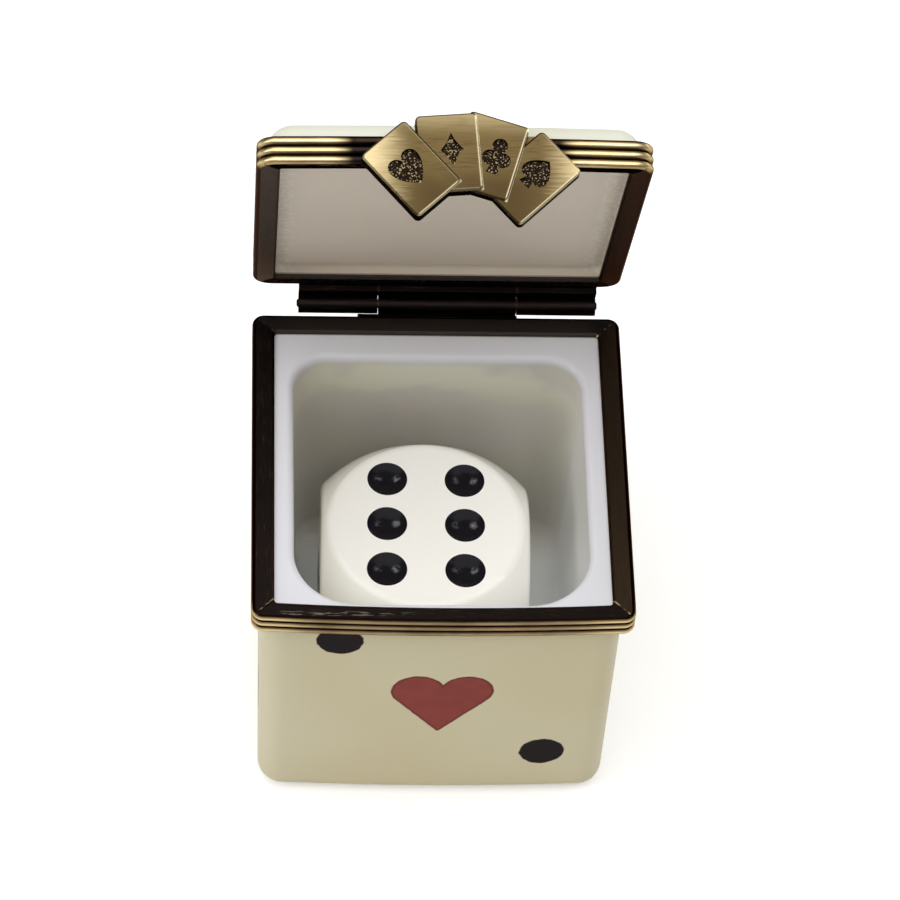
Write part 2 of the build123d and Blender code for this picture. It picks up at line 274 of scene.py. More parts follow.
# %% [markdown]
# ## Table
#
# A wide pale sheet stands for the table. It glows a little where the camera sees it, so it
# reads as white and still takes the soft shadow of the box. More lamps would whiten it
# too, but they would bleach the box.

# %% Floor
FLOOR_SIZE = 6.0
FLOOR_COLOR = (0.9, 0.9, 0.9)
FLOOR_GLOW = (0.34, 0.34, 0.34)
FLOOR_ROUGHNESS = 0.9
NO_LIGHT = (0.0, 0.0, 0.0)


def add_floor():
    mesh = bpy.data.meshes.new("floor")
    bm = bmesh.new()
    bmesh.ops.create_grid(bm, x_segments=1, y_segments=1, size=FLOOR_SIZE / 2)
    bm.to_mesh(mesh)
    bm.free()
    floor = bpy.data.objects.new("floor", mesh)
    bpy.context.scene.collection.objects.link(floor)
    constants = {"Base Color": (*FLOOR_COLOR, 1.0), "Roughness": FLOOR_ROUGHNESS}
    paper = Finish("floor_paper", {**constants, "Emission Strength": 1.0})
    rays = paper.add("ShaderNodeLightPath", {}, {})
    paper.feed(Emission_Color=paper.mix(rays["Is Camera Ray"], NO_LIGHT, FLOOR_GLOW))
    mesh.materials.append(paper.material)
    return floor


floor = add_floor()
print("floor", [round(side, 2) for side in floor.dimensions], "m")


# %% [markdown]
# ## Light
#
# The light is a large softbox overhead, a smaller one at the left, a low one at the right
# that the bevelled edges of the cards mirror, two small lamps for the sparkle in the glaze
# and a dim, even surround. Faces that look up are therefore brighter than those that look
# forward.

# %% Softboxes and surround
SURROUND = (0.88, 0.86, 0.84)
SURROUND_LEVEL = 0.20
# Name, then place, width and depth in metres, and power in watts
SOFTBOXES = [
    ("softbox_over", (-0.05, -0.10, 0.85), 1.20, 1.10, 8.0),
    ("softbox_left", (-0.70, -0.20, 0.45), 0.30, 0.40, 1.2),
    ("softbox_right", (0.70, 0.50, 0.15), 0.55, 0.26, 1.3),
    ("spark_left", (-0.42, 0.02, 0.45), 0.05, 0.05, 0.05),
    ("spark_right", (0.42, 0.02, 0.45), 0.05, 0.05, 0.07),
]


def add_softbox(name, place, width, depth, power):
    """A rectangular lamp that points from its place at the middle of the rim."""
    data = bpy.data.lights.new(name, "AREA")
    data.shape = "RECTANGLE"
    data.size = width
    data.size_y = depth
    data.energy = power
    lamp = bpy.data.objects.new(name, data)
    aim = Vector((0.0, 0.0, SEAM))
    facing = (aim - Vector(place)).to_track_quat("-Z", "Y").to_matrix().to_4x4()
    lamp.matrix_world = Matrix.Translation(place) @ facing
    bpy.context.scene.collection.objects.link(lamp)
    print(name, power, "W")


def add_surround():
    world = bpy.data.worlds.new("surround")
    bpy.context.scene.world = world
    world.use_nodes = True
    background = world.node_tree.nodes["Background"]
    background.inputs["Color"].default_value = (*SURROUND, 1.0)
    background.inputs["Strength"].default_value = SURROUND_LEVEL


for row in SOFTBOXES:
    add_softbox(*row)
add_surround()
bpy.context.scene.view_settings.view_transform = "Standard"


# %% [markdown]
# ## Glaze
#
# The porcelain is glazed and fired. The glaze is smooth but never quite even, so its ivory
# has slow clouds and its surface the faintest ripple. A dull shader with a thin glossy coat
# stands for it. Its roughness keeps close to 0.3, because a pattern that crosses about 0.27
# comes out of the denoiser as blotches.

# %% Glaze
GLAZE = {"IOR": 1.5, "Specular IOR Level": 0.05, "Coat Roughness": 0.08}
IVORY = (0.71, 0.635, 0.415)
IVORY_PALE = (0.77, 0.715, 0.515)
CLOUD_STRENGTH = 0.4
GLAZE_ROUGHNESS = (0.29, 0.33)


def glaze_cloud(finish, place):
    """Slow change of the ivory."""
    return finish.patches(place, scale=0.09, detail=0.0, low=0.35, high=0.75) * CLOUD_STRENGTH


def glaze_coat(finish, base_color, place, gloss, ripple):
    """Gloss with the faint orange-peel of a fired glaze."""
    peel = finish.noise(place, scale=0.45, detail=0.0)
    smear = finish.noise(place, scale=0.25, detail=0.0)
    finish.feed(Base_Color=base_color, Coat_Weight=gloss)
    finish.feed(Normal=finish.bump(peel * ripple, distance=0.01 * MM, strength=0.02))
    finish.feed(Roughness=finish.roughness(smear, *GLAZE_ROUGHNESS))


print("glaze roughness from {} to {}".format(*GLAZE_ROUGHNESS))


# %% [markdown]
# ## Marks painted on the glaze
#
# A red heart and black pips are painted by hand, so their edges waver and dry darker. Each
# mark is a distance in the plane of its face, below zero inside: it costs no geometry and
# also gives the darker rim of the paint. The opposite faces of a die add up to seven, so
# the hidden sides of the box carry the matching pips.

# %% Painted marks
HEART_RED = (0.31, 0.060, 0.048)
HEART_RIM = (0.14, 0.026, 0.024)
PIP_BLACK = (0.009, 0.004, 0.005)

# Millimetres across a face and up from the seam
FRONT_PIPS = [(-8.73, -4.5), (9.71, -22.1)]
CORNER_PIPS = [(-9.0, -5.6), (9.0, -5.6), (-9.0, -21.6), (9.0, -21.6)]
MIDDLE_PIP = (0.0, -13.6)
PIP_RADIUS = 2.0
HEART_MIDDLE = (0.395, -12.136)
HEART_LOBE = 2.336
HEART_SPREAD = 2.139
HEART_TIP = 6.494
HEART_BLUNT = 0.12
HEART_LEAN = 0.026

# Millimetres from the edge of a mark: its soft edge, its darker rim and how far the brush
# strays, which it does less round the heart
PAINT_EDGE = (-0.06, 0.08)
PAINT_RIM = (-0.32, -0.02)
BRUSH_WOBBLE = 0.24
HEART_WOBBLE_SHARE = 0.6
PATCH_STRENGTH = 0.25

# Millimetres from the middle of the box, over which each face begins
FRONT_FACE = (15.0, 15.1)
BACK_FACE = (15.45, 15.5)
SIDE_FACE = (15.4, 15.45)


def pip_distance(across, up, centers):
    """Distance to the nearest pip in millimetres, below zero inside."""
    distances = []
    for center_across, center_up in centers:
        side = across - center_across
        rise = up - center_up
        distances.append((side * side + rise * rise).root() - PIP_RADIUS)
    return functools.reduce(Wire.least, distances)


def heart_distance(across, up):
    """Distance to the leaning heart: two round lobes over the wedge that touches both."""
    rise = up - HEART_MIDDLE[1]
    side = abs(across - rise * HEART_LEAN - HEART_MIDDLE[0])
    beside = side - HEART_SPREAD
    lobe = (beside * beside + rise * rise).root() - HEART_LOBE
    reach = math.hypot(HEART_SPREAD, HEART_TIP)
    slope = math.atan2(HEART_SPREAD, HEART_TIP) + math.asin(HEART_LOBE / reach)
    wedge = side * math.cos(slope) - (rise + HEART_TIP) * math.sin(slope)
    cap = (rise + HEART_LOBE * math.sin(slope)).least(rise.most(beside))
    blunt = HEART_BLUNT - HEART_TIP - rise
    return lobe.least(wedge.most(cap).most(blunt))


def painted(finish, distance):
    """1 where the paint lies."""
    return 1 - finish.step(distance, *PAINT_EDGE)


def brush_wobble(finish, place):
    """How far the brush strayed, in millimetres."""
    return (finish.noise(place, scale=1.6, detail=2.0) - 0.5) * BRUSH_WOBBLE


def pip_paint(finish, x, y, rise, wobble):
    """1 in the pips of the front, the back, the right and the left."""
    sides = [
        (x, finish.step(0 - y, *FRONT_FACE), FRONT_PIPS),
        (x, finish.step(y, *BACK_FACE), CORNER_PIPS),
        (y, finish.step(x, *SIDE_FACE), CORNER_PIPS + [MIDDLE_PIP]),
        (y, finish.step(0 - x, *SIDE_FACE), CORNER_PIPS[1:3]),
    ]
    marks = []
    for across, face, centers in sides:
        marks.append(painted(finish, pip_distance(across, rise, centers) + wobble) * face)
    return functools.reduce(Wire.most, marks)


def heart_paint(finish, place, x, y, rise, wobble):
    """1 in the heart on the front, and its red, darker at the rim and in patches."""
    distance = heart_distance(x, rise) + wobble * HEART_WOBBLE_SHARE
    dark = finish.patches(place, scale=0.7, detail=2.0, low=0.3, high=0.7) * PATCH_STRENGTH
    rim = finish.step(distance, *PAINT_RIM)
    red = finish.mix(rim.most(dark), HEART_RED, HEART_RIM)
    return painted(finish, distance) * finish.step(0 - y, *FRONT_FACE), red


print(f"front: {len(FRONT_PIPS)} pips and a heart {2 * (HEART_LOBE + HEART_SPREAD):.1f} mm wide")


# %% [markdown]
# ## The inside of the box
#
# Inside, the glaze is white on the ledge and olive-grey down the walls. Painted shade greys
# the ledge to the back and the right and darkens the back wall, and painted light makes the
# foot and the right wall paler. Some light comes through porcelain this thin, low in the
# cavity and more at the right. A very faint glow stands in for it, because light that
# really passes through a wall takes long to render.

# %% Inside of the box
LEDGE_WHITE = (0.76, 0.76, 0.80)
# Painted shade greys the ledge and darkens the back wall; painted light makes the foot and the right
# wall paler
LEDGE_SHADE = (0.60, 0.59, 0.61)
WALL_OLIVE = (0.80, 0.78, 0.645)
WALL_PAINTED_SHADE = (0.575, 0.55, 0.465)
WALL_MOTTLE = (0.60, 0.555, 0.53)
WALL_PAINTED_LIGHT = (0.95, 0.95, 0.94)
WALL_GLOW = (0.046, 0.050, 0.052)

# Millimetres over which one colour gives way to the next
BACK_WALL = (6.0, 12.0)
RIGHT_WALL = (8.5, 11.0)
WALL_FOOT = (8.0, 22.0)
WALL_HEAD = (20.0, 27.0)
LEDGE_START = (27.4, 28.6)
LEDGE_RIGHT = (8.0, 16.0)
LEDGE_BACK = (8.0, 14.0)
GLOW_RISE = (7.0, 21.0)
GLOW_RIGHT = (4.0, 11.0)

# How the mottle is stretched, and how strongly each shows
MOTTLE_STRETCH = (1.0, 1.0, 1.6)
MOTTLE_STRENGTH = 0.55
LEDGE_RIGHT_SHADE = 0.35
LEDGE_BACK_SHADE = 0.55
GLOW_LEFT_SHARE = 0.45


def inner_color(finish, place, x, y, z):
    """White on the ledge with painted shade to the back and right; olive-grey down the walls, with
    painted shade at the back and painted light at the foot and the right.
    """
    back = finish.step(y, *BACK_WALL)
    # Painted shade: the back wall darker below its head
    shade = finish.mix(back * (1 - finish.step(z, *WALL_HEAD)), WALL_OLIVE, WALL_PAINTED_SHADE)
    drawn = finish.stretch(place, MOTTLE_STRETCH)
    mottle = finish.patches(drawn, scale=0.14, detail=2.0, low=0.42, high=0.62)
    shade = finish.mix(mottle * back * MOTTLE_STRENGTH, shade, WALL_MOTTLE)
    # Painted light: paler at the foot and on the right wall
    foot = (1 - finish.step(z, *WALL_FOOT)) * (1 - back)
    right = finish.step(x, *RIGHT_WALL) * (1 - back)
    shade = finish.mix(foot.most(right), shade, WALL_PAINTED_LIGHT)
    # Painted shade: the ledge greyer to the right and the back, under the open lid
    painted_ledge_shade = finish.step(x, *LEDGE_RIGHT) * LEDGE_RIGHT_SHADE
    painted_ledge_shade = painted_ledge_shade + finish.step(y, *LEDGE_BACK) * LEDGE_BACK_SHADE
    ledge = finish.mix(painted_ledge_shade, LEDGE_WHITE, LEDGE_SHADE)
    return finish.mix(finish.step(z, *LEDGE_START), shade, ledge)


def inner_glow(finish, x, y, z):
    """Light that comes through the thin walls, low in the cavity and more at the right."""
    low = (1 - finish.step(z, *GLOW_RISE)) * (1 - finish.step(y, *BACK_WALL))
    share = finish.step(x, *GLOW_RIGHT) * (1 - GLOW_LEFT_SHARE) + GLOW_LEFT_SHARE
    return finish.mix(low * share, NO_LIGHT, WALL_GLOW)


print("the ledge begins from {} to {} mm up".format(*LEDGE_START))


# %% [markdown]
# ## The porcelain base
#
# The outside and the inside are one solid, so planes a little inside the outer faces tell
# them apart. Painted light makes the ivory paler towards the left and the right edge, and
# the hand-painted marks lie on top.

# %% Porcelain base
OUTER_GLOSS = 0.02
INNER_GLOSS = 0.45

# Millimetres. A point lower than the mount and beyond these planes is on the outside.
OUTER_SIDE = 13.3
OUTER_FRONT = -14.4
OUTER_BACK = 13.3
OUTER_FOOT = 0.6
MOUNT_LOW = 27.2
PLANE_SOFT = 0.1
# Millimetres over which painted light makes the ivory paler towards the left and the right edge, then
# how much paler
LIT_LEFT_EDGE = (9.0, 17.0)
LIT_RIGHT_EDGE = (14.4, 15.5)
LEFT_EDGE_LIGHT = 0.8  # parts of the full colour that are lost there
RIGHT_EDGE_LIGHT = 0.6


def beyond(finish, value, plane):
    """1 beyond a plane, with a soft edge."""
    return finish.step(value, plane - PLANE_SOFT, plane + PLANE_SOFT)


def outside_glaze(finish, x, y, z):
    """1 on the outside of the base."""
    outside = beyond(finish, abs(x), OUTER_SIDE).most(beyond(finish, y, OUTER_BACK))
    outside = outside.most(1 - beyond(finish, y, OUTER_FRONT))
    outside = outside.most(1 - beyond(finish, z, OUTER_FOOT))
    return outside * (1 - beyond(finish, z, MOUNT_LOW))


def base_porcelain_finish():
    finish = Finish("ivory_glaze", {**GLAZE, "Emission Strength": 1.0})
    place = finish.millimetres()
    x, y, z = finish.split(place)
    rise = z - SEAM_MM
    outside = outside_glaze(finish, x, y, z)
    # Painted light: the ivory paler towards the left and the right edge
    left = finish.step(0 - x, *LIT_LEFT_EDGE) * LEFT_EDGE_LIGHT
    right = finish.step(x, *LIT_RIGHT_EDGE) * RIGHT_EDGE_LIGHT
    warm = (1 - glaze_cloud(finish, place)) * (1 - left.most(right))
    ivory = finish.mix(warm, IVORY_PALE, IVORY)
    color = finish.mix(outside, inner_color(finish, place, x, y, z), ivory)
    wobble = brush_wobble(finish, place)
    heart, heart_red = heart_paint(finish, place, x, y, rise, wobble)
    color = finish.mix(heart * outside, color, heart_red)
    pips = pip_paint(finish, x, y, rise, wobble)
    color = finish.mix(pips * outside, color, PIP_BLACK)
    gloss = INNER_GLOSS - outside * (INNER_GLOSS - OUTER_GLOSS)
    glaze_coat(finish, color, place, gloss, ripple=outside)
    finish.feed(Emission_Color=finish.mix(outside, inner_glow(finish, x, y, z), NO_LIGHT))
    return finish


dress(base_porcelain_finish(), "porcelain_base")


# %% [markdown]
# ## The porcelain lid
#
# The lid is a shallow tray, ivory outside with one pip on its top and warmer inside. Specks
# of pale glue show along the left and the right edge of the inside.

# %% Porcelain lid
LID_IVORY = (0.84, 0.85, 0.72)
LID_INSIDE = (0.81, 0.72, 0.605)
GLUE_SPECK = (0.94, 0.92, 0.85)
SPECK_STRENGTH = 0.6
LID_GLOSS = 0.12
UNDER_GLOSS = 0.02

# Millimetres of the shut lid: up from the seam, then out from the middle
CEILING_RISE = (1.7, 1.8)
TOP_RISE = (4.0, 4.1)
TRAY_WALL = (14.95, 15.0)
GLUE_EDGE = (12.6, 13.4)
LID_PIP = (0.0, -0.4)


def lid_porcelain_finish():
    finish = Finish("lid_glaze", GLAZE)
    place = finish.millimetres(shut_lid=True)
    x, y, z = finish.split(place)
    rise = z - SEAM_MM
    ivory = finish.mix(glaze_cloud(finish, place), LID_IVORY, IVORY_PALE)
    pip = painted(finish, pip_distance(x, y, [LID_PIP]) + brush_wobble(finish, place))
    ivory = finish.mix(pip * finish.step(rise, *TOP_RISE), ivory, PIP_BLACK)
    specks = finish.patches(place, scale=2.2, detail=3.0, low=0.40, high=0.70)
    specks = specks * finish.step(abs(x), *GLUE_EDGE) * SPECK_STRENGTH
    inside = finish.mix(specks, LID_INSIDE, GLUE_SPECK)
    under = 1 - finish.step(rise, *CEILING_RISE)
    under = under * (1 - finish.step(abs(x).most(abs(y)), *TRAY_WALL))
    color = finish.mix(under, ivory, inside)
    gloss = LID_GLOSS - under * (LID_GLOSS - UNDER_GLOSS)
    glaze_coat(finish, color, place, gloss, ripple=1 - under)
    return finish


dress(lid_porcelain_finish(), "porcelain_lid")


# %% [markdown]
# ## Antique brass
#
# The mounts are brass that was darkened and then rubbed. The flanges stay nearly black,
# with fine scratches and a thread of bright solder in each mitre. The beads outside are
# rubbed back to gold on their crests, with a painted highlight there and towards the front
# corners, and keep the patina in their grooves. Both mounts are finished the same way, so
# that a look, a short table, can say what differs.

# %% Brass and patina
EDGE_TINT = (0.30, 0.24, 0.18)
BRASS = {"Metallic": 1.0, "Specular Tint": (*EDGE_TINT, 1.0)}
CREST_HIGHLIGHT = (0.88, 0.715, 0.40)
BRASS_BRIGHT = (0.62, 0.44, 0.21)
BRASS_MID = (0.40, 0.29, 0.165)
BRASS_WORN = (0.26, 0.215, 0.165)
BRASS_BROWN = (0.12, 0.075, 0.036)
BRASS_DARK = (0.006, 0.003, 0.002)
# The next two are thin patina, and they also carry a painted grey sheen on the sides of the lid's
# mount
THIN_PATINA_AND_SHEEN = (0.20, 0.175, 0.17)
PATINA_GREY_SHEEN = (0.092, 0.080, 0.074)
BROWN_PATINA = (0.085, 0.052, 0.028)
RUSSET_PATINA = (0.050, 0.034, 0.021)
BLACK_PATINA = (0.018, 0.013, 0.012)

# The corner is the radius at the roots of the beads, and the span in each look says how far
# out the front turns to gold, where it is rubbed and carries a painted highlight, both in
# millimetres. The groove_span is in parts of a bead's pitch.
BASE_LOOK = {
    "shut_lid": False,
    "corner": 0.68,
    "rubbed_and_lit_span": (10.0, 15.5),
    "groove_span": (0.28, 0.38),
    "dull": (BRASS_MID, BRASS_BROWN),
    "side_dull": BROWN_PATINA,
    "left": BLACK_PATINA,
    "right": RUSSET_PATINA,
    "thread": 1.0,
}
LID_LOOK = {
    "shut_lid": True,
    "corner": 1.38,
    "rubbed_and_lit_span": (8.4, 10.6),
    "groove_span": (0.33, 0.43),
    "dull": (BLACK_PATINA, BROWN_PATINA),
    # On the lid, the side beads and the side flanges take a patina with a painted grey sheen
    "side_dull": PATINA_GREY_SHEEN,
    "left": THIN_PATINA_AND_SHEEN,
    "right": PATINA_GREY_SHEEN,
    "thread": 0.2,
}
print("a look says:", ", ".join(BASE_LOOK))


# %% [markdown]
# ## Beads
#
# A bead is a half-round ridge that runs all the way round the box. A texture could be
# painted along it, but the beads lie level, so the height of a point is enough to tell
# crest from groove. The front is rubbed most, towards its corners, and carries a painted
# highlight there and along the crests.

# %% Beads
BEAD_ROWS = 3
BEAD_PITCH = (rim_high.z - rim_low.z) / BEAD_ROWS / MM
CREST_SPAN = (0.02, 0.24)  # parts of a pitch from the middle of a bead

# How much the worn patches take from the dull beads, the gold ones and those of the sides
DULL_WEAR = 0.4
GOLD_WEAR = 0.3
SIDE_WEAR = 0.5

# Millimetres: the roots of the beads, how far the ends of the bowed front lie back, and
# where the front strip gives way to the sides
STRIP_SIDE = 16.0
STRIP_END = 16.05
STRIP_BOW = 0.4
STRIP_EDGE = (-0.03, 0.03)
FRONT_STRIP = (-15.2, -13.8)
SIDE_STRIP = (-15.2, -14.0)


def beyond_strip(finish, place, corner):
    """1 on the beads, 0 on the flange and anything else inside their roots."""
    x, y = finish.split(place)[:2]
    part = x / STRIP_SIDE
    bow = part * part * STRIP_BOW
    side = (abs(x) - (STRIP_SIDE - corner)).most(0.0)
    end = (y.most(bow - y) - (STRIP_END - corner)).most(0.0)
    return finish.step((side * side + end * end).root() - corner, *STRIP_EDGE)


def bead_color(finish, place, look):
    """Gold where the front is rubbed most, with painted highlights there and on the crests; dull
    elsewhere and nearly black in the grooves.
    """
    x, y, z = finish.split(place)
    off_middle = abs((abs(z - SEAM_MM) / BEAD_PITCH).fraction() - 0.5)
    groove = finish.step(off_middle, *look["groove_span"])
    crest = 1 - finish.step(off_middle, *CREST_SPAN)
    worn = finish.patches(place, scale=0.30, detail=4.0, low=0.38, high=0.66)
    # Rubbed to gold towards the front corners, with a painted highlight there too
    rubbed = finish.step(abs(x), *look["rubbed_and_lit_span"]) * (1 - finish.step(y, *FRONT_STRIP))
    dull = finish.mix(worn * DULL_WEAR, *look["dull"])
    gold = finish.mix(rubbed * (1 - worn * GOLD_WEAR), dull, BRASS_BRIGHT)
    # Painted highlight along the crests of the gold front
    gold = finish.mix(rubbed * crest, gold, CREST_HIGHLIGHT)
    side = finish.step(y, *SIDE_STRIP) * (1 - worn * crest * SIDE_WEAR)
    gold = finish.mix(side, gold, look["side_dull"])
    return finish.mix(groove, gold, BRASS_DARK)


print(f"{BEAD_ROWS} beads of {BEAD_PITCH:.2f} mm")


# %% [markdown]
# ## Flanges
#
# A flange is made of four flat strips that meet in mitres, so the scratches run along each
# side and turn at the mitre. Which of x and y is larger tells the sides apart. Noise that
# is stretched far more one way than the other makes a scratch.

# %% Flange
MIDDLE = (-1.0, 1.0)  # millimetres over which one half of the box gives way to the other

# Millimetres: the mitres, the side flanges and the line in front where the lid rubs
MITRE_SHIFT = 0.05
MITRE_WIDTH = (0.05, 0.13)
MITRE_START = (14.0, 14.4)
MITRE_TURN = (-0.1, 0.1)
SIDE_FLANGE = (-0.1, 0.3)
ABOVE_FLANGE = (1.2, 1.6)
BACK_FLANGE = (13.0, 14.5)
RUB_LINE = 15.62
RUB_WIDTH = (0.12, 0.28)
RUB_LEFT = (0.0, 9.0)
RUB_END = (13.6, 14.4)

# How a noise is stretched: fine across the scratches, coarse along them
ALONG_X = (0.5, 7.0, 0.0)
ALONG_Y = (7.0, 0.5, 0.0)
NICKS = (0.8, 6.0, 0.0)

# How strongly each shows
SOLDER_LEFT_SHARE = 0.35
BACK_THINNING = 0.2
SCRATCH_STRENGTH = 0.8
NICK_STRENGTH = 0.8


def mitre_thread(finish, place, look):
    """1 along the four mitres of a flange, where solder shows in spots, more at the right."""
    x, y = finish.split(place)[:2]
    bow = (1 - finish.step(y, *MIDDLE)) * STRIP_BOW
    off = abs(abs(x) - abs(y) - bow + MITRE_SHIFT)
    line = (1 - finish.step(off, *MITRE_WIDTH)) * finish.step(abs(x), *MITRE_START)
    spots = finish.patches(place, scale=2.2, detail=2.0, low=0.46, high=0.60) * look["thread"]
    share = finish.step(x, *MIDDLE) * (1 - SOLDER_LEFT_SHARE) + SOLDER_LEFT_SHARE
    return line * (spots * share)


def flange_scratches(finish, place):
    """Noise drawn out along each side of a flange."""
    x, y = finish.split(place)[:2]
    along_x = finish.noise(finish.stretch(place, ALONG_X), scale=1.0, detail=4.0)
    along_y = finish.noise(finish.stretch(place, ALONG_Y), scale=1.0, detail=4.0)
    side = finish.step(abs(x) - abs(y), *MITRE_TURN)
    return along_x * (1 - side) + along_y * side


def flange_color(finish, place, scratch, look):
    """Nearly black, thinner at the back, with scratches along it; on the lid the side flanges take a
    painted grey sheen.
    """
    x, y, z = finish.split(place)
    side = finish.step(abs(x) - abs(y), *SIDE_FLANGE)
    side = side * (1 - finish.step(z - SEAM_MM, *ABOVE_FLANGE))
    flank = finish.mix(finish.step(x, *MIDDLE), look["left"], look["right"])
    dark = finish.mix(side, BLACK_PATINA, flank)
    thin = finish.step(y, *BACK_FLANGE) * (1 - side) * BACK_THINNING
    dark = finish.mix(thin, dark, THIN_PATINA_AND_SHEEN)
    deepest = finish.step(scratch, 0.56, 0.80) * SCRATCH_STRENGTH
    patina = finish.mix(deepest, dark, BROWN_PATINA)
    drawn = finish.stretch(place, NICKS)
    nicks = finish.patches(drawn, scale=1.0, detail=4.0, low=0.50, high=0.62)
    line = 1 - finish.step(abs(y + RUB_LINE), *RUB_WIDTH)
    line = line * finish.step(0 - x, *RUB_LEFT) * (1 - finish.step(abs(x), *RUB_END))
    return finish.mix(nicks * line * NICK_STRENGTH, patina, BRASS_WORN)


print("mitres begin from {} to {} mm out".format(*MITRE_START))


# %% [markdown]
# ## The two mounts
#
# Strip and flange are soldered into one piece. Everything outside the roots of the beads
# is given the colour of the beads, and everything inside them that of the flange.

# %% Brass mounts
MOUNT_ROUGHNESS = (0.28, 0.40)


def mount_finish(name, look):
    """Beads outside, flange inside."""
    finish = Finish(name, BRASS)
    place = finish.millimetres(look["shut_lid"])
    scratch = flange_scratches(finish, place)
    flange = flange_color(finish, place, scratch, look)
    flange = finish.mix(mitre_thread(finish, place, look), flange, BRASS_BRIGHT)
    outside = beyond_strip(finish, place, look["corner"])
    finish.feed(Base_Color=finish.mix(outside, flange, bead_color(finish, place, look)))
    finish.feed(Roughness=finish.roughness(scratch, *MOUNT_ROUGHNESS))
    finish.feed(Normal=finish.bump(scratch, distance=0.02 * MM, strength=0.35))
    return finish


dress(mount_finish("base_mount_brass", BASE_LOOK), "base_mount")
dress(mount_finish("lid_mount_brass", LID_LOOK), "lid_mount")


# %% [markdown]
# ## Hinge
#
# The hinge is the darkest metal. Drawing it through a plate left fine lines along it, and
# the cut ends of its barrels are brighter.

# %% Hinge
HINGE_ROUGHNESS = (0.32, 0.52)
DRAWN_LINES = (0.25, 6.0, 6.0)

# Millimetres: where the barrels meet and how wide their bright ends are
BARREL_SPLITS = (-5.15, 7.25)
SPLIT_WIDTH = (0.05, 0.14)
SPLIT_STRENGTH = 0.5


def hinge_finish():
    finish = Finish("hinge_patina", BRASS)
    place = finish.millimetres()
    x = finish.split(place)[0]
    lines = finish.noise(finish.stretch(place, DRAWN_LINES), scale=1.0, detail=3.0)
    color = finish.mix(finish.step(lines, 0.58, 0.85), BLACK_PATINA, BROWN_PATINA)
    split = abs(x - BARREL_SPLITS[0]).least(abs(x - BARREL_SPLITS[1]))
    ends = (1 - finish.step(split, *SPLIT_WIDTH)) * SPLIT_STRENGTH
    color = finish.mix(ends, color, BRASS_BROWN)
    finish.feed(Base_Color=color)
    finish.feed(Roughness=finish.roughness(lines, *HINGE_ROUGHNESS))
    finish.feed(Normal=finish.bump(lines, distance=0.03 * MM, strength=0.5))
    return finish


dress(hinge_finish(), "hinge_center_knuckle", "hinge_left_knuckle", "hinge_right_knuckle", "hinge_pin")


# %% [markdown]
# ## Cards of the clasp
#
# The clasp is one casting, so nothing but its shape tells card, edge and suit apart. The
# faces of the cards lie at four known heights, and the highest card over a point gives the
# height its face should have. A highlight is painted along the edges that face right and
# down, as the bevels mirror the lamp at the right, brighter the more an edge faces that way.

# %% Cards of the clasp
# Place of its middle, turn in degrees, half width, half height and height of its face
CARDS = [
    (5.98, -1.47, -47.5, 2.40, 3.50, 0.95),
    (2.53, 0.35, -17.0, 2.55, 3.325, 1.12),
    (-0.7, 0.5, 4.5, 2.55, 3.325, 1.29),
    (-3.81, -0.94, 42.0, 2.40, 3.50, 1.46),
]
CARD_SLACK = 0.03
# The painted edge highlight: its width in millimetres, and the way in degrees that the lit edges face
EDGE_HIGHLIGHT_WIDTH = (0.08, 0.28)
EDGE_LIGHT_WAY = -21.8


def lit_card_edge(finish, across, up, turn, half_width, half_height):
    """1 along the edges of a card that face the light, where a highlight is painted."""
    edges = []
    for way, gap in ((0, half_width - across), (-90, half_height + up), (90, half_height - up)):
        facing = max(math.cos(math.radians(turn + way - EDGE_LIGHT_WAY)), 0.0)
        edges.append((1 - finish.step(gap, *EDGE_HIGHLIGHT_WIDTH)) * facing**2)
    return functools.reduce(Wire.most, edges)


def card_fields(finish, x, rise):
    """Height of the face of the topmost card at a point of the fan, and the painted highlight along
    its edges.
    """
    height, lit_edge = 0.0, 0.0
    for card_x, card_z, turn, half_width, half_height, face in CARDS:
        cosine, sine = math.cos(math.radians(turn)), math.sin(math.radians(turn))
        across = (x - card_x) * cosine + (rise - card_z) * sine
        up = (rise - card_z) * cosine - (x - card_x) * sine
        inside = (abs(across) - half_width).most(abs(up) - half_height).below(CARD_SLACK)
        height = (inside * face).most(height)
        own = lit_card_edge(finish, across, up, turn, half_width, half_height)
        lit_edge = lit_edge * (1 - inside) + own * inside
    return height, lit_edge


print("cards with faces at", ", ".join(f"{card[-1]} mm" for card in CARDS))


# %% [markdown]
# ## Clasp
#
# Wherever the casting lies lower than the face of its card, the point is in a suit or on
# the side of a card, and there the grainy patina was never rubbed off. The faces are darker
# brown low on the fan, and a painted sheen makes them brighter at its ends and its top.

# %% Clasp
# The first colour is the painted highlight on the card edges
CARD_EDGE_HIGHLIGHT = (0.88, 0.76, 0.48)
CLASP_SHEEN = (0.60, 0.485, 0.265)
CLASP_MID = (0.115, 0.080, 0.032)
CLASP_BROWN = (0.050, 0.031, 0.0135)
CLASP_DARK = (0.012, 0.007, 0.005)
CLASP_ROUGHNESS = (0.30, 0.40)
BRUSH_MARKS = (0.45, 1.0, 8.0)
WORN_PATCHES = (0.28, 1.0, 0.40)

# Millimetres: the back of the casting, the fan's rise over the seam, how deep the patina
# and the black lie, and where the fan gets its painted sheen and where it stays brown
CLASP_BACK = -16.44
FAN_RISE = 0.1
PATINA_DEPTH = (0.13, 0.2)
BLACK_DEPTH = (0.36, 0.42)
SHEEN_MIDDLE = 1.6
SHEEN_ENDS = (5.0, 9.6)
SHEEN_TOP = (1.6, 4.4)
BROWN_MIDDLE = 1.5
BROWN_REACH = (3.0, 7.0)
BROWN_TOP = (-3.5, 0.5)

# Millimetres by which a noise of -0.5 to 0.5 makes these edges ragged
RAGGED_ENDS = 3.0
RAGGED_TOP = 2.0
RAGGED_BROWN = 4.0

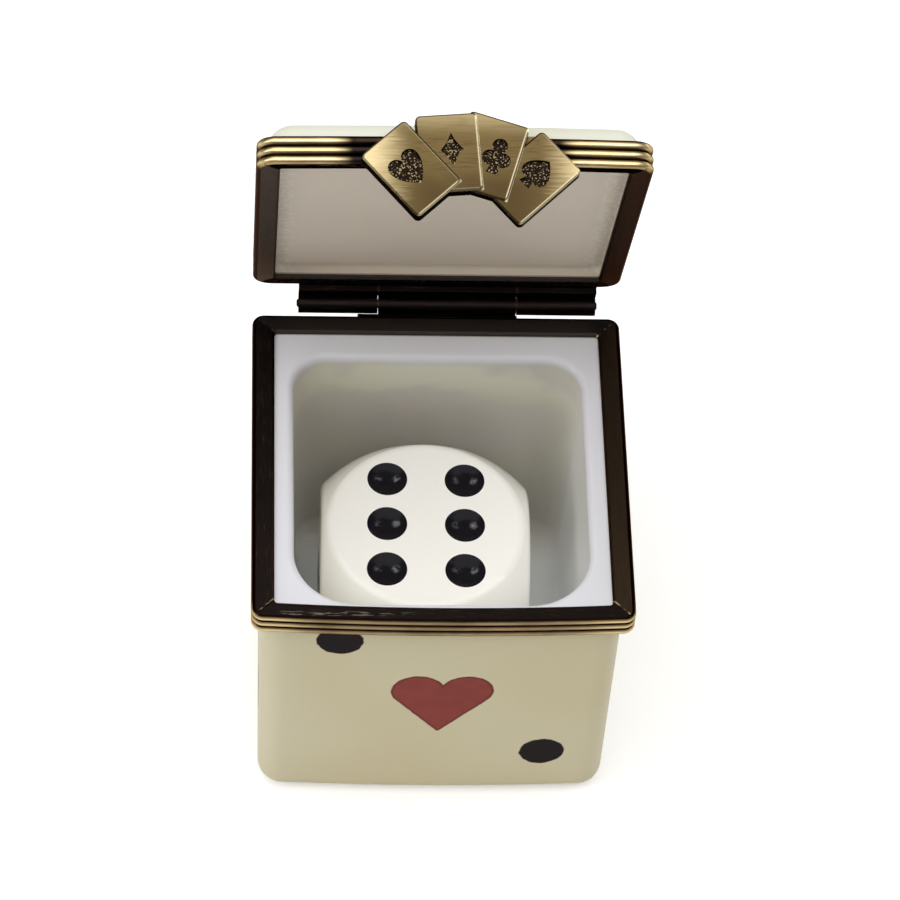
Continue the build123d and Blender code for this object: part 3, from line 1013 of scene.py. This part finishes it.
# How strongly each shows, and how much of the brown is lost at the ends of the fan and of
# the gold in the worn patches
BROWN_STRENGTH = 0.75
MARK_STRENGTH = 0.6
TOP_STRENGTH = 0.40
GRAIN_STRENGTH = 0.42
BROWN_THINNING = 0.7
GOLD_THINNING = 0.5


def card_faces_with_sheen(finish, place, rise, brush):
    """Darker brown low on the fan, a painted sheen at its ends and top, and fine brush marks."""
    x = finish.split(place)[0]
    worn = finish.noise(finish.stretch(place, WORN_PATCHES), scale=1.0, detail=2.0)
    low = 1 - finish.step(rise + (worn - 0.5) * RAGGED_BROWN, *BROWN_TOP)
    low = low * (1 - finish.step(abs(x - BROWN_MIDDLE), *BROWN_REACH) * BROWN_THINNING)
    marks = finish.step(brush, 0.50, 0.75) * MARK_STRENGTH
    gold = finish.mix((low * BROWN_STRENGTH).most(marks), CLASP_MID, CLASP_BROWN)
    # Painted sheen: brighter at the ends and the top of the fan
    ends = finish.step(abs(x - SHEEN_MIDDLE) + (brush - 0.5) * RAGGED_ENDS, *SHEEN_ENDS)
    top = finish.step(rise + (brush - 0.5) * RAGGED_TOP, *SHEEN_TOP) * TOP_STRENGTH
    bright = ends.most(top) * (1 - finish.step(worn, 0.45, 0.75) * GOLD_THINNING)
    return finish.mix(bright, gold, CLASP_SHEEN)


def clasp_finish():
    finish = Finish("clasp_brass", BRASS)
    place = finish.millimetres(shut_lid=True)
    x, y, z = finish.split(place)
    rise = z - SEAM_MM - FAN_RISE
    brush = finish.noise(finish.stretch(place, BRUSH_MARKS), scale=1.0, detail=4.0)
    grain = finish.noise(place, scale=6.5, detail=1.0)
    height, lit_edge = card_fields(finish, x, rise)
    sunk = height - (CLASP_BACK - y)
    patina = finish.step(sunk, *PATINA_DEPTH)
    gold = finish.mix(lit_edge, card_faces_with_sheen(finish, place, rise, brush), CARD_EDGE_HIGHLIGHT)
    glints = finish.step(grain, 0.56, 0.68) * GRAIN_STRENGTH
    dark = finish.mix(glints, CLASP_DARK, CLASP_SHEEN)
    dark = finish.mix(finish.step(sunk, *BLACK_DEPTH), dark, CLASP_DARK)
    brushed = finish.bump(brush, distance=0.02 * MM, strength=0.5)
    grainy = finish.bump(grain * patina, distance=0.08 * MM, strength=0.7, normal=brushed)
    finish.feed(Base_Color=finish.mix(patina, gold, dark), Normal=grainy)
    finish.feed(Roughness=finish.roughness(brush, *CLASP_ROUGHNESS))
    return finish


dress(clasp_finish(), "card_fan_clasp", "clasp_catch")


# %% [markdown]
# ## Cement
#
# The cement that beds the porcelain in its mounts is dull and grainy. Little of it shows.

# %% Cement
CEMENT_DARK = (0.30, 0.26, 0.20)
CEMENT_PALE = (0.55, 0.50, 0.40)


def cement_finish():
    finish = Finish("setting_cement", {"Roughness": 0.9})
    grain = finish.noise(finish.millimetres(), scale=6.0, detail=4.0)
    finish.feed(Base_Color=finish.mix(grain, CEMENT_DARK, CEMENT_PALE))
    finish.feed(Normal=finish.bump(grain, distance=0.05 * MM, strength=0.5))
    return finish


dress(cement_finish(), "base_cement", "lid_cement")


# %% [markdown]
# ## Die
#
# The die is glossy. Its pips are found by depth, like the suits of the clasp: on each face,
# inside the disc that the rounding leaves flat, whatever lies under the face is a pip and
# is filled with black. Two soft spots of each pip on top are painted lighter, as painted
# highlights.

# %% Die
DIE_WHITE = (0.95, 0.93, 0.875)
DIE_CREAM = (0.96, 0.95, 0.91)
DIE_PIP = (0.008, 0.007, 0.010)
# The colour of the painted highlights in the pips on top
PIP_HIGHLIGHT = (0.20, 0.20, 0.22)
DIE_GLOSS = 0.55
PIP_GLOSS = 0.09
DIE_ROUGHNESS = 0.20
DIE_SMEAR = 0.08
DIE_TURN = math.radians(-1.0)

# Millimetres from the middle of the die
DIE_HALF = 9.25
DIE_DISC = 7.85
DISC_SOFT = 0.05
DIE_TOP = (7.0, 8.0)
PIP_COLUMN = 3.43
PIP_ROW = 4.83
COLUMN_TURN = (-0.1, 0.1)

# Millimetres: how deep a pip begins, and the places and the width of the painted
# highlights in the pips, each with its strength
PIP_DEPTH = (0.001, 0.007)
HIGHLIGHT_LOW = -0.25
HIGHLIGHT_SPOTS = ((-0.80, 0.45), (0.80, 1.0))
HIGHLIGHT_WIDTH = (0.05, 0.5)
die_low, die_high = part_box("die")
die_middle = (die_low + die_high) / 2 / MM


def die_place(x, y, z):
    """A point of the die from its middle, in its own directions."""
    side, depth, height = x - die_middle.x, y - die_middle.y, z - die_middle.z
    across = side * math.cos(DIE_TURN) + depth * math.sin(DIE_TURN)
    along = depth * math.cos(DIE_TURN) - side * math.sin(DIE_TURN)
    return across, along, height


def pip_mask(finish, across, along, height):
    """1 in the pips."""
    reach = abs(across).most(abs(along)).most(abs(height))
    from_middle = across * across + along * along + height * height
    from_axis = (from_middle - reach * reach).root()
    on_disc = 1 - finish.step(from_axis, DIE_DISC - DISC_SOFT, DIE_DISC + DISC_SOFT)
    return finish.step(DIE_HALF - reach, *PIP_DEPTH) * on_disc


def pip_highlights(finish, across, along, height):
    """1 at two soft spots in each pip of the top face, where a highlight is painted."""
    column = (finish.step(across, *COLUMN_TURN) * 2 - 1) * PIP_COLUMN
    row = abs(along + HIGHLIGHT_LOW).least(abs(abs(along + HIGHLIGHT_LOW) - PIP_ROW))
    spots = []
    for aside, strength in HIGHLIGHT_SPOTS:
        side = across - column - aside
        distance = (side * side + row * row).root()
        spots.append((1 - finish.step(distance, *HIGHLIGHT_WIDTH)) * strength)
    return functools.reduce(Wire.most, spots) * finish.step(height, *DIE_TOP)


def die_finish():
    finish = Finish("die_plastic", {**GLAZE, "Coat Roughness": 0.06})
    place = finish.millimetres()
    across, along, height = die_place(*finish.split(place))
    pip = pip_mask(finish, across, along, height)
    grain = finish.patches(place, scale=2.6, detail=3.0, low=0.35, high=0.65)
    # Painted highlights in the pips on top, broken up by grain
    rubbed = pip_highlights(finish, across, along, height) * grain
    black = finish.mix(rubbed, DIE_PIP, PIP_HIGHLIGHT)
    cloud = finish.noise(place, scale=0.12, detail=2.0)
    white = finish.mix(cloud, DIE_WHITE, DIE_CREAM)
    finish.feed(Base_Color=finish.mix(pip, white, black))
    finish.feed(Coat_Weight=DIE_GLOSS - pip * (DIE_GLOSS - PIP_GLOSS))
    smear = finish.noise(place, scale=0.5, detail=2.0)
    finish.feed(Roughness=smear * DIE_SMEAR + DIE_ROUGHNESS)
    return finish


dress(die_finish(), "die")


# %% [markdown]
# ## End
#
# A finish doesn't move or reshape a solid, so the size of the whole stays as it was at the
# start.

# %% End
print("finishes given")
